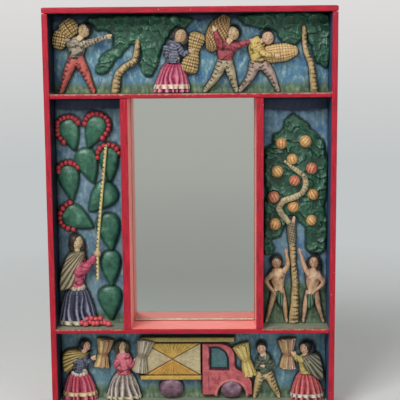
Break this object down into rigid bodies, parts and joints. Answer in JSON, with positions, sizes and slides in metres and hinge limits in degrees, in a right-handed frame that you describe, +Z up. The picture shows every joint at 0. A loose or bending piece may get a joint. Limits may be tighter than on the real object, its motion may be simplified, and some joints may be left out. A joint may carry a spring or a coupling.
{
  "type": "folk art wall mirror",
  "caption": "Upright looking glass in a deep red slat frame whose compartments hold painted relief scenes of harvesters, fruit trees, a prickly pear and a truck",
  "frame": {"origin": "middle of the base, on the surface it would stand on", "axes": "+Z up, -Y out of the front towards the viewer, +X to the viewer's right"},
  "size_m": [0.305, 0.048, 0.431],
  "materials": {
    "crimson_painted_wood": "brushed crimson paint, worn at the edges",
    "plain_board_wood": "bare board",
    "silvered_glass": "plain looking glass",
    "steel_plate": "pressed sheet",
    "blue_painted_paste": "hand painted moulding paste, satin",
    "green_painted_paste": "hand painted moulding paste, satin",
    "cactus_green_paste": "hand painted moulding paste, satin",
    "ochre_painted_paste": "hand painted moulding paste, satin",
    "straw_painted_paste": "hand painted moulding paste, satin",
    "red_painted_paste": "hand painted moulding paste, satin",
    "pink_painted_paste": "hand painted moulding paste, satin",
    "cream_painted_paste": "hand painted moulding paste, satin",
    "skin_painted_paste": "hand painted moulding paste, satin",
    "violet_painted_paste": "hand painted moulding paste, satin"
  },
  "bodies": {
    "root": {"top_rail": "crimson_painted_wood", "bottom_rail": "crimson_painted_wood", "left_stile": "crimson_painted_wood", "right_stile": "crimson_painted_wood", "upper_shelf": "crimson_painted_wood", "lower_shelf": "crimson_painted_wood", "left_divider": "crimson_painted_wood", "right_divider": "crimson_painted_wood", "back_board": "plain_board_wood", "mirror_glass": "silvered_glass", "sawtooth_hanger": "steel_plate", "top_ground": "blue_painted_paste", "bottom_ground": "blue_painted_paste", "left_ground": "blue_painted_paste", "right_ground": "blue_painted_paste", "left_crown": "green_painted_paste", "right_crown": "green_painted_paste", "tree_crown": "green_painted_paste", "green_jacket_man": "green_painted_paste", "cactus_pad_a": "cactus_green_paste", "cactus_pad_b": "cactus_green_paste", "cactus_pad_c": "cactus_green_paste", "cactus_pad_d": "cactus_green_paste", "cactus_pad_e": "cactus_green_paste", "cactus_pad_f": "cactus_green_paste", "cactus_pad_g": "cactus_green_paste", "cactus_pad_h": "cactus_green_paste", "cactus_pad_i": "cactus_green_paste", "cactus_pad_j": "cactus_green_paste", "left_trunk": "ochre_painted_paste", "right_trunk": "ochre_painted_paste", "tree_trunk": "ochre_painted_paste", "back_bundles": "straw_painted_paste", "woman_basket": "straw_painted_paste", "shoulder_basket": "straw_painted_paste", "long_basket": "straw_painted_paste", "first_sheaf": "straw_painted_paste", "second_sheaf": "straw_painted_paste", "third_sheaf": "straw_painted_paste", "fourth_sheaf": "straw_painted_paste", "fruit_pole": "straw_painted_paste", "truck_bed": "straw_painted_paste", "yellow_vest_man": "straw_painted_paste", "fallen_fruit": "red_painted_paste", "basket_woman": "pink_painted_paste", "red_jacket_man": "pink_painted_paste", "pole_woman": "pink_painted_paste", "shawl_woman": "pink_painted_paste", "blouse_woman": "pink_painted_paste", "truck_cab": "pink_painted_paste", "grey_shawl_woman": "pink_painted_paste", "bundle_man": "cream_painted_paste", "serpent_branch": "cream_painted_paste", "bare_man": "skin_painted_paste", "bare_woman": "skin_painted_paste", "rear_wheel": "violet_painted_paste", "front_wheel": "violet_painted_paste"}
  },
  "joints": []
}
